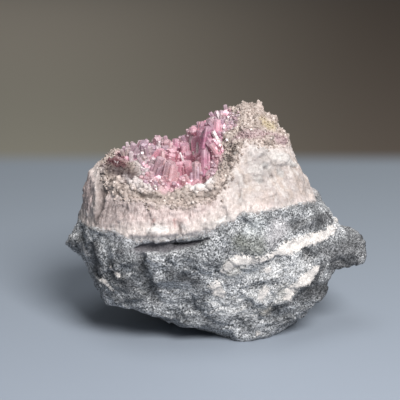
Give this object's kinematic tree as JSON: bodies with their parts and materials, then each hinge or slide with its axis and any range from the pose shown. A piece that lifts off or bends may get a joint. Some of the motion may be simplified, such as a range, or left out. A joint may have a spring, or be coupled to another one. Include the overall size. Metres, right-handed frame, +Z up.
{
  "type": "cobaltoan calcite specimen",
  "caption": "Pink cobaltoan calcite crystals in a hollow of white calcite and tan druse, on grey granular rock that rests on a broken flat face.",
  "frame": {"origin": "on the resting plane, under the middle of the specimen's bounding box", "axes": "+X along the longest extent towards the beak of grey rock, +Y from the front with the crack and the vein to the back, +Z up from the resting face"},
  "size_m": [0.0978, 0.0614, 0.0758],
  "materials": {
    "matrix": "rough granular grey rock",
    "bed": "broken white to pale pink calcite",
    "druse": "sugary tan druse",
    "crystal": "glassy pink, translucent"
  },
  "bodies": {
    "root": {"grey_matrix": "matrix", "calcite_bed": "bed", "druse_crust": "druse", "pink_crystals": "crystal"}
  },
  "joints": []
}
